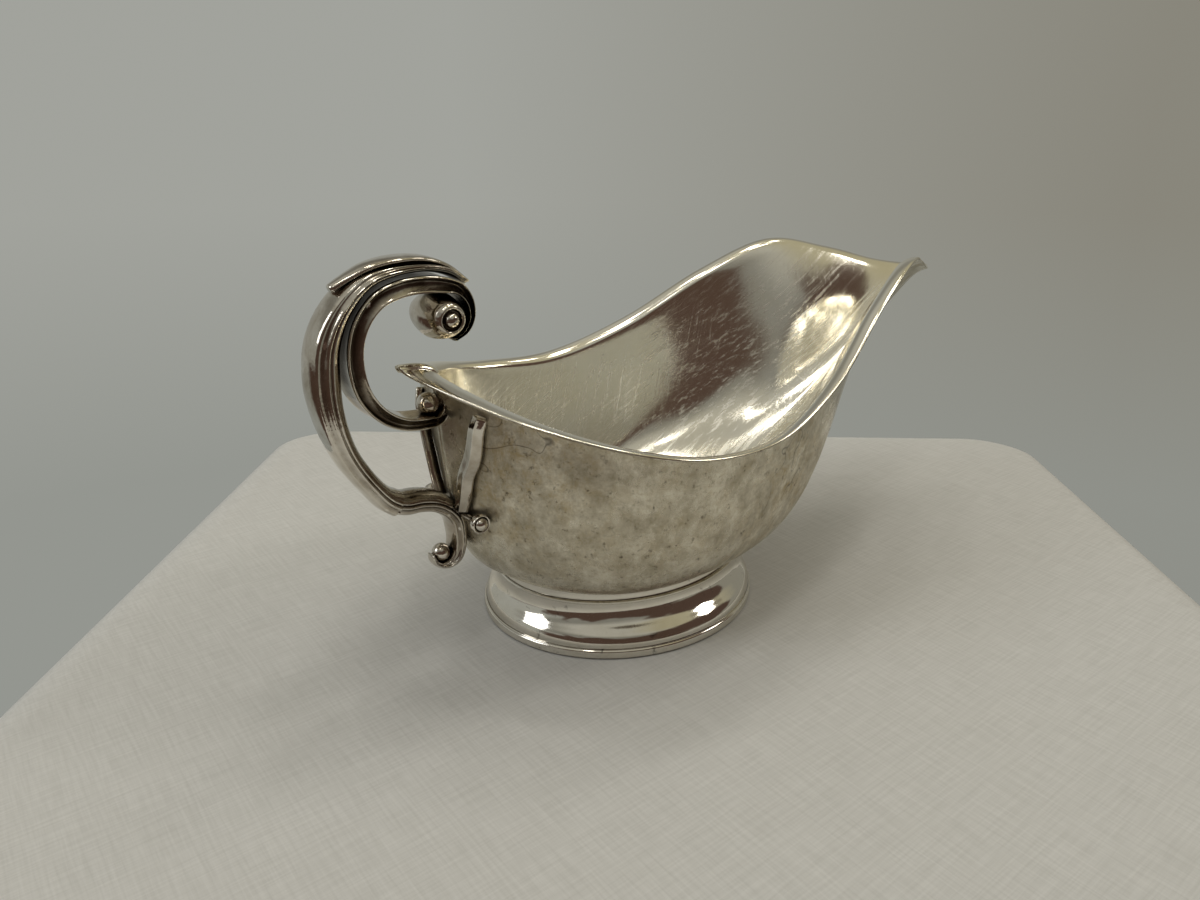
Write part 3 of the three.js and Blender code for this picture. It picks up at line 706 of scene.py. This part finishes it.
class Graph:
    """A short way to write the nodes of a material or a world."""

    def __init__(self, owner, shader="Principled BSDF", place="Object"):
        owner.use_nodes = True
        self.owner = owner
        self.nodes = owner.node_tree.nodes
        self.links = owner.node_tree.links
        self.shader = self.nodes[shader]
        self.place = self.nodes.new("ShaderNodeTexCoord").outputs[place]

    def put(self, node, key, value):
        """Links an input of a node to a socket, or sets it to a plain value."""
        if isinstance(value, bpy.types.NodeSocket):
            self.links.new(value, node.inputs[key])
        else:
            node.inputs[key].default_value = value

    def add(self, kind, inputs=(), **settings):
        node = self.nodes.new("ShaderNode" + kind)
        for key, value in settings.items():
            setattr(node, key, value)
        for key, value in dict(inputs).items():
            self.put(node, key, value)
        return node

    def noise(self, scale, detail=4.0, stretch=(1, 1, 1), shift=(0, 0, 0), roughness=0.55,
              distortion=0.0):
        mapping = self.add("Mapping", {"Vector": self.place, "Scale": stretch, "Location": shift})
        return self.add("TexNoise", {"Vector": mapping.outputs[0], "Scale": scale, "Detail": detail,
                                     "Roughness": roughness, "Distortion": distortion}).outputs[0]

    def streaks(self, scale, length, turn, shift):
        """Noise drawn out along a direction that is turned about the Y axis by an angle in degrees."""
        mapping = self.add("Mapping", {"Vector": self.place, "Scale": (length, 2, 1),
                                       "Location": shift, "Rotation": (0, math.radians(turn), 0)},
                           vector_type="TEXTURE")
        return self.add("TexNoise", {"Vector": mapping.outputs[0], "Scale": scale, "Detail": 3,
                                     "Roughness": 0.7}).outputs[0]

    def span(self, value, low, high, to_low=0.0, to_high=1.0):
        return self.add("MapRange", {"Value": value, "From Min": low, "From Max": high,
                                     "To Min": to_low, "To Max": to_high}).outputs[0]

    def mix(self, share, a, b):
        return self.add("Mix", {0: share, 6: a, 7: b}, data_type="RGBA").outputs[2]

    def math(self, operation, a, b=0.0):
        return self.add("Math", {0: a, 1: b}, operation=operation).outputs[0]

    def plus(self, a, b):
        return self.math("ADD", a, b)

    def times(self, a, b):
        return self.math("MULTIPLY", a, b)

    def along(self, direction):
        """How far the place lies along a direction."""
        node = self.add("VectorMath", {0: self.place, 1: direction}, operation="DOT_PRODUCT")
        return node.outputs["Value"]

    def patch(self, way, start, full, uneven=None):
        """A share that changes from 0 to 1 with the nearness to a direction, between two limits."""
        near = self.along(way)
        if uneven is not None:
            near = self.plus(near, uneven)
        return self.span(near, start, full)

    def lines(self, scale, thin, shift):
        """Thin wandering lines: 1 on a line, 0 beside it."""
        value = self.noise(scale, 2, shift=shift, distortion=1.2)
        off = self.math("ABSOLUTE", self.math("SUBTRACT", value, 0.5))
        return self.span(off, 0.0, thin, 1.0, 0.0)

    def attribute(self, name):
        return self.add("Attribute", attribute_name=name).outputs["Fac"]

    def close_by(self, distance):
        """1 where another surface is near, 0 in the open."""
        node = self.add("AmbientOcclusion", {"Distance": distance}, samples=8)
        return self.math("SUBTRACT", 1.0, node.outputs["AO"])

    def bump(self, height, strength, distance, after=None):
        inputs = {"Height": height, "Strength": strength, "Distance": distance}
        if after is not None:
            inputs["Normal"] = after
        return self.add("Bump", inputs).outputs[0]

    def finish(self, colour, roughness, normal, metallic=1.0):
        self.put(self.shader, "Base Color", colour)
        self.put(self.shader, "Roughness", roughness)
        self.put(self.shader, "Normal", normal)
        self.put(self.shader, "Metallic", metallic)
        return self.owner


SILVER = (0.82, 0.775, 0.65, 1)
WARM = (0.46, 0.35, 0.17, 1)
DULL = (0.40, 0.355, 0.26, 1)
BROWN = (0.045, 0.030, 0.018, 1)
INSIDE_PALE = (0.91, 0.88, 0.79, 1)
INSIDE_WARM = (0.76, 0.68, 0.48, 1)
SCRATCHED = (0.95, 0.93, 0.88, 1)
POLISHED = (0.80, 0.77, 0.70, 1)
FOOT_DULL = (0.56, 0.50, 0.37, 1)
CAST_PALE = (0.74, 0.70, 0.63, 1)
CAST_DULL = (0.40, 0.34, 0.26, 1)
CLOTH_DARK = (0.62, 0.62, 0.605, 1)
CLOTH_PALE = (0.72, 0.72, 0.71, 1)
CLOTH_SPOT = (0.3, 0.28, 0.25, 1)


def outside_silver():
    """Mottled plate: cloudy patina, yellowish blotches, specks, faint upright streaks and hairlines."""
    g = Graph(bpy.data.materials.new("bowl_outside"))
    broad = g.noise(16, 4, shift=(2, 2, 5), roughness=0.6)
    clouds = g.noise(130, 10, roughness=0.75)
    blotches = g.noise(210, 8, shift=(3, 1, 7), roughness=0.8, distortion=0.3)
    grain = g.noise(1000, 3, shift=(6, 3, 2), roughness=0.7)
    streaks = g.noise(100, 4, stretch=(1, 1, 0.1), shift=(5, 2, 0))
    specks = g.noise(620, 4, shift=(1, 8, 2), roughness=0.7)
    stained = g.span(broad, 0.45, 0.62)
    yellow = g.times(g.span(blotches, 0.46, 0.62, 0.0, 0.75), g.span(stained, 0, 1, 0.3, 1))
    dark = g.times(g.span(specks, 0.58, 0.68), g.span(blotches, 0.42, 0.56))
    hairlines = g.times(g.lines(34, 0.007, (4, 7, 1)), g.span(broad, 0.5, 0.6))
    colour = g.mix(g.span(clouds, 0.38, 0.66), SILVER, DULL)
    colour = g.mix(yellow, colour, WARM)
    colour = g.mix(g.span(grain, 0.5, 0.72, 0.0, 0.45), colour, DULL)
    colour = g.mix(g.span(streaks, 0.52, 0.72, 0.0, 0.4), colour, DULL)
    colour = g.mix(g.times(dark, 0.75), colour, BROWN)
    colour = g.mix(g.times(hairlines, 0.7), colour, BROWN)
    rough = g.plus(g.span(clouds, 0.3, 0.7, 0.2, 0.34), g.span(stained, 0, 1, 0, 0.14))
    hair = g.noise(700, 2, stretch=(1, 1, 0.05), shift=(2, 9, 4))
    soft = g.noise(26, 2, shift=(9, 9, 1))
    normal = g.bump(soft, 0.3, 0.0012)
    normal = g.bump(hair, 0.1, 0.00008, normal)
    normal = g.bump(grain, 0.15, 0.0001, normal)
    return g.finish(colour, rough, normal, metallic=0.85)


def inside_silver():
    """Polished plate with fine scratches along and across the boat and a faint warm cast."""
    g = Graph(bpy.data.materials.new("bowl_inside"))
    clouds = g.noise(30, 6, shift=(4, 4, 4), roughness=0.65)
    rising = g.streaks(1300, 90, -32, (1, 2, 3))
    steep = g.streaks(1300, 90, -75, (7, 2, 3))
    level = g.streaks(1100, 90, 5, (4, 9, 2))
    patches = g.noise(30, 3, shift=(3, 8, 8))
    inside = g.attribute("hollow")
    scratches = g.plus(g.times(g.span(rising, 0.5, 0.7), g.span(patches, 0.4, 0.55, 0.5, 1)),
                       g.times(g.span(steep, 0.5, 0.7), g.span(patches, 0.6, 0.45, 0.1, 0.8)))
    scratches = g.times(scratches, g.span(inside, 0, 1, 0.15, 1))
    colour = g.mix(g.span(clouds, 0.4, 0.7, 0.0, 0.45), INSIDE_PALE, INSIDE_WARM)
    colour = g.mix(g.times(scratches, 0.5), colour, SCRATCHED)
    rough = g.plus(g.span(clouds, 0.3, 0.7, 0.09, 0.17), g.times(scratches, 0.28))
    soft = g.noise(20, 2, shift=(2, 5, 8))
    normal = g.bump(soft, 0.2, 0.001)
    normal = g.bump(g.times(g.plus(rising, steep), inside), 0.3, 0.00006, normal)
    normal = g.bump(g.times(level, inside), 0.2, 0.00006, normal)
    return g.finish(colour, rough, normal)


def foot_silver():
    """Mirror-polished plate, with painted shade and more roughness in the corners, and a few small marks.
    """
    g = Graph(bpy.data.materials.new("foot_silver"))
    clouds = g.noise(45, 6, shift=(6, 1, 2), roughness=0.65)
    marks = g.noise(220, 6, shift=(3, 3, 9), distortion=1.2, roughness=0.7)
    near = g.close_by(0.002)
    colour = g.mix(g.span(clouds, 0.45, 0.75, 0.0, 0.5), POLISHED, FOOT_DULL)
    colour = g.mix(g.span(marks, 0.62, 0.72, 0.0, 0.75), colour, BROWN)
    # Painted shade: brown where another surface is near, in the corners
    colour = g.mix(g.span(near, 0.3, 0.75, 0.0, 0.95), colour, BROWN)
    rough = g.plus(g.span(clouds, 0.3, 0.8, 0.05, 0.14), g.span(near, 0.4, 1.0, 0, 0.25))
    soft = g.noise(45, 2, shift=(8, 2, 8))
    hair = g.noise(900, 2, stretch=(1, 1, 0.2), shift=(3, 2, 4))
    normal = g.bump(soft, 0.2, 0.0006)
    normal = g.bump(hair, 0.08, 0.00006, normal)
    return g.finish(colour, rough, normal)


def cast_silver():
    """Cast plate: brown-black in the hollows and joints, partly oxide and partly painted shade, worn
    bright on the ridges.
    """
    g = Graph(bpy.data.materials.new("cast_silver"))
    clouds = g.noise(110, 7, shift=(2, 6, 1), roughness=0.65, distortion=0.4)
    grain = g.noise(1100, 3, shift=(2, 2, 7))
    hollow = g.attribute("hollow")
    near = g.close_by(0.0025)
    edge = g.add("NewGeometry").outputs["Pointiness"]
    # Oxide and painted shade: darker with the depth in a hollow and where another surface is near
    dark = g.plus(g.span(hollow, 0.05, 0.9, 0.0, 0.75), g.span(near, 0.3, 0.9, 0.0, 0.9))
    dark = g.times(dark, g.span(clouds, 0.25, 0.6, 0.65, 1.2))
    colour = g.mix(g.span(clouds, 0.35, 0.68), CAST_PALE, CAST_DULL)
    colour = g.mix(g.math("MINIMUM", dark, 0.97), colour, BROWN)
    colour = g.mix(g.span(edge, 0.515, 0.56, 0.0, 0.85), colour, POLISHED)
    rough = g.plus(g.span(clouds, 0.3, 0.75, 0.05, 0.15), g.times(dark, 0.16))
    soft = g.noise(150, 4, shift=(8, 2, 2))
    normal = g.bump(soft, 0.35, 0.0005)
    normal = g.bump(grain, 0.1, 0.00006, normal)
    return g.finish(colour, rough, normal)


def cloth():
    """Off-white woven cloth of the table."""
    g = Graph(bpy.data.materials.new("table_cloth"))
    across = g.noise(1500, 2, stretch=(1, 0.05, 1))
    along = g.noise(1500, 2, stretch=(0.05, 1, 1), shift=(4, 0, 0))
    weave = g.plus(across, along)
    folds = g.noise(9, 3, shift=(1, 4, 0), distortion=0.3)
    spots = g.noise(38, 2, shift=(9, 3, 0))
    colour = g.mix(g.span(weave, 0.7, 1.3), CLOTH_DARK, CLOTH_PALE)
    colour = g.mix(g.span(spots, 0.74, 0.78, 0.0, 0.4), colour, CLOTH_SPOT)
    normal = g.bump(folds, 0.5, 0.004)
    normal = g.bump(weave, 0.25, 0.0002, normal)
    return g.finish(colour, 0.9, normal, metallic=0.0)


def paint():
    """The bowl has its own outer and inner finish, which meet on the rim, and each other slot one."""
    bowl_finishes = [outside_silver(), inside_silver()]
    finishes = {"foot_silver": foot_silver(), "cast_silver": cast_silver()}
    inner_start = (len(outer_rows) + EDGE_ROWS // 2 + 1) * BOWL_COLUMNS
    for piece in bpy.data.objects:
        if piece.type != "MESH" or piece.get("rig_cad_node"):
            continue
        if piece.name == "sheet_bowl":
            for finish in bowl_finishes:
                piece.data.materials.append(finish)
            for face in piece.data.polygons:
                face.material_index = 1 if min(face.vertices) >= inner_start else 0
        elif piece.get("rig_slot") in finishes:
            piece.data.materials.append(finishes[piece["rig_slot"]])


# Studio, in metres

TABLE_MIDDLE = (-0.03, -0.023)
TABLE_TURN = -40
TABLE_HALF = 0.154
TABLE_CORNER = 0.02
CORNER_SHARE = 0.6
CORNER_STEPS = 12

# The cloth from the table's middle outward and down: how far it is in from the edge, and its height
TABLE_CLOTH = [(0.15, 0), (0.1, 0), (0.05, 0), (0.012, 0), (0.006, -0.0006), (0.002, -0.0026),
               (0, -0.007), (-0.001, -0.05), (-0.002, -0.2), (-0.004, -0.5)]

LIGHT_AIM = (0, 0, 0.05)
WARM_LIGHT = (1.0, 0.96, 0.88)
COOL_LIGHT = (0.97, 0.98, 1.0)
CEILING_HEIGHT = 1.5
CEILING_LAMPS = [(-0.6, -0.35), (-0.15, -0.25), (0.3, -0.15), (-0.1, 0.35), (0.35, 0.3), (0.8, 0.25)]
CEILING_LAMP = {"size": (0.14, 0.24), "power": 0.9, "colour": WARM_LIGHT}
LEFT_WINDOW = {"place": (-1.2, 0.3, 0.7), "size": (0.5, 0.6), "power": 3.0, "colour": COOL_LIGHT}
RIGHT_LAMP = {"place": (0.9, -0.5, 0.9), "size": (0.3, 0.3), "power": 2.0, "colour": WARM_LIGHT}

CAMERA_PLACE = (-0.16885, -0.17529, 0.12941)
CAMERA_WAY = (0.5742, 0.7349, -0.3608)
CAMERA_LENS, CAMERA_SENSOR = 27.05, 36

WALL = (0.36, 0.365, 0.335, 1)
WALL_LOW = (0.28, 0.29, 0.265, 1)
WALL_RIGHT = (0.25, 0.24, 0.20, 1)
UPPER_WALL = (0.22, 0.215, 0.19, 1)
CEILING = (0.42, 0.41, 0.36, 1)
WARM_CEILING = (0.39, 0.36, 0.25, 1)
DIM_ROOM = (0.078, 0.050, 0.038, 1)

# Heights at which the room changes, as the upward part of a direction: where a change starts, where it
# is full and, for the low wall, how strong it is then
LOW_WALL_RANGE = (-0.1, -0.35, 0, 0.8)
UPPER_WALL_RANGE = (0.3, 0.45)
CEILING_RANGE = (0.6, 0.75)
FLOOR_RANGE = (-0.02, -0.12)

# Patches of the room: a direction, and how near to it the patch starts and is full. DIM_TOP runs the
# other way: near its direction the dim patch ends.
RIGHT_PATCH = ((0.788, -0.616, 0), -0.15, 0.5)
WARM_PATCH = ((0.50, -0.12, 0.86), 0.74, 0.90)
DIM_PATCH = ((-0.36, -0.87, 0.32), 0.60, 0.70)
DIM_TOP = ((-0.25, -0.15, 0.92), 0.69, 0.65)
DIM_CORNER = ((-0.95, -0.28, 0.10), 0.94, 0.97)
DIM_RIGHT = ((0.64, -0.67, 0.37), 0.90, 0.93)
FLOOR_PATCH = ((-0.86, -0.51, 0), 0.1, 0.25)


def table_ring(inset, height):
    """A square with round corners, turned as the table is."""
    turn = math.radians(TABLE_TURN)
    half = TABLE_HALF - inset
    radius = min(TABLE_CORNER, half * CORNER_SHARE)
    ring = []
    for quarter, (side_x, side_y) in enumerate(((1, 1), (-1, 1), (-1, -1), (1, -1))):
        for k in range(CORNER_STEPS + 1):
            a = math.pi / 2 * (quarter + k / CORNER_STEPS)
            x = side_x * (half - radius) + radius * math.cos(a)
            y = side_y * (half - radius) + radius * math.sin(a)
            ring.append((TABLE_MIDDLE[0] + x * math.cos(turn) - y * math.sin(turn),
                         TABLE_MIDDLE[1] + x * math.sin(turn) + y * math.cos(turn), height))
    return ring


def make_table():
    """A square table top under a pale cloth that hangs down over its rounded edge."""
    rings = [table_ring(inset, height) for inset, height in TABLE_CLOTH]
    columns = len(rings[0])
    points = [p for ring in rings for p in ring] + [(*TABLE_MIDDLE, 0)]
    faces = grid_faces(len(rings), columns)
    for j in range(columns):
        faces.append((len(points) - 1, (j + 1) % columns, j))
    mesh = bpy.data.meshes.new("table")
    mesh.from_pydata(points, [], faces)
    mesh.flip_normals()
    mesh.shade_smooth()
    mesh.materials.append(cloth())
    table = bpy.data.objects.new("table", mesh)
    bpy.context.scene.collection.objects.link(table)


def add_light(name, place, size, power, colour):
    data = bpy.data.lights.new(name, "AREA")
    data.shape = "RECTANGLE"
    data.size, data.size_y = size
    data.energy = power
    data.color = colour
    light = bpy.data.objects.new(name, data)
    light.location = place
    light.rotation_euler = (Vector(LIGHT_AIM) - Vector(place)).to_track_quat("-Z", "Y").to_euler()
    bpy.context.scene.collection.objects.link(light)


def make_lights():
    """Warm lamps on the ceiling, a cool window on the left and a warm lamp on the right."""
    for k, (x, y) in enumerate(CEILING_LAMPS):
        add_light(f"lamp_{k}", place=(x, y, CEILING_HEIGHT), **CEILING_LAMP)
    add_light("left_window", **LEFT_WINDOW)
    add_light("right_lamp", **RIGHT_LAMP)


def make_world():
    """A pale wall, dimmer overhead, a warm patch of ceiling and a dim room behind the camera.

    The metal shows the dim room, and the picture's own background is the plain wall from every side.
    """
    g = Graph(bpy.data.worlds.new("room"), "Background", "Generated")
    height = g.along((0, 0, 1))
    wall = g.mix(g.patch(*RIGHT_PATCH), WALL, WALL_RIGHT)
    wall = g.mix(g.span(height, *LOW_WALL_RANGE), wall, WALL_LOW)
    wall = g.mix(g.span(height, *UPPER_WALL_RANGE), wall, UPPER_WALL)
    wall = g.mix(g.span(height, *CEILING_RANGE), wall, CEILING)
    wall = g.mix(g.patch(*WARM_PATCH), wall, WARM_CEILING)
    uneven = g.times(g.math("SUBTRACT", g.noise(3.0, 4, shift=(1, 5, 3)), 0.5), 0.5)
    slight = g.times(uneven, 0.3)
    dim = g.times(g.patch(*DIM_PATCH, uneven), g.patch(*DIM_TOP, uneven))
    floor = g.times(g.patch(*FLOOR_PATCH), g.span(height, *FLOOR_RANGE))
    room = wall
    for share in (dim, g.patch(*DIM_CORNER, slight), g.patch(*DIM_RIGHT, slight), floor):
        room = g.mix(share, room, DIM_ROOM)
    colour = g.mix(g.add("LightPath").outputs["Is Camera Ray"], room, wall)
    g.put(g.shader, "Color", colour)
    bpy.context.scene.world = g.owner


def make_camera():
    data = bpy.data.cameras.new("camera")
    data.lens = CAMERA_LENS
    data.sensor_width = CAMERA_SENSOR
    data.clip_start = 0.01
    camera = bpy.data.objects.new("camera", data)
    camera.location = CAMERA_PLACE
    camera.rotation_euler = Vector(CAMERA_WAY).to_track_quat("-Z", "Y").to_euler()
    bpy.context.scene.collection.objects.link(camera)
    bpy.context.scene.camera = camera


bpy.context.scene.view_settings.view_transform = "Standard"
make_camera()
make_bowl()
make_foot()
make_collar()
make_band()
make_handle()
paint()
make_table()
make_world()
make_lights()
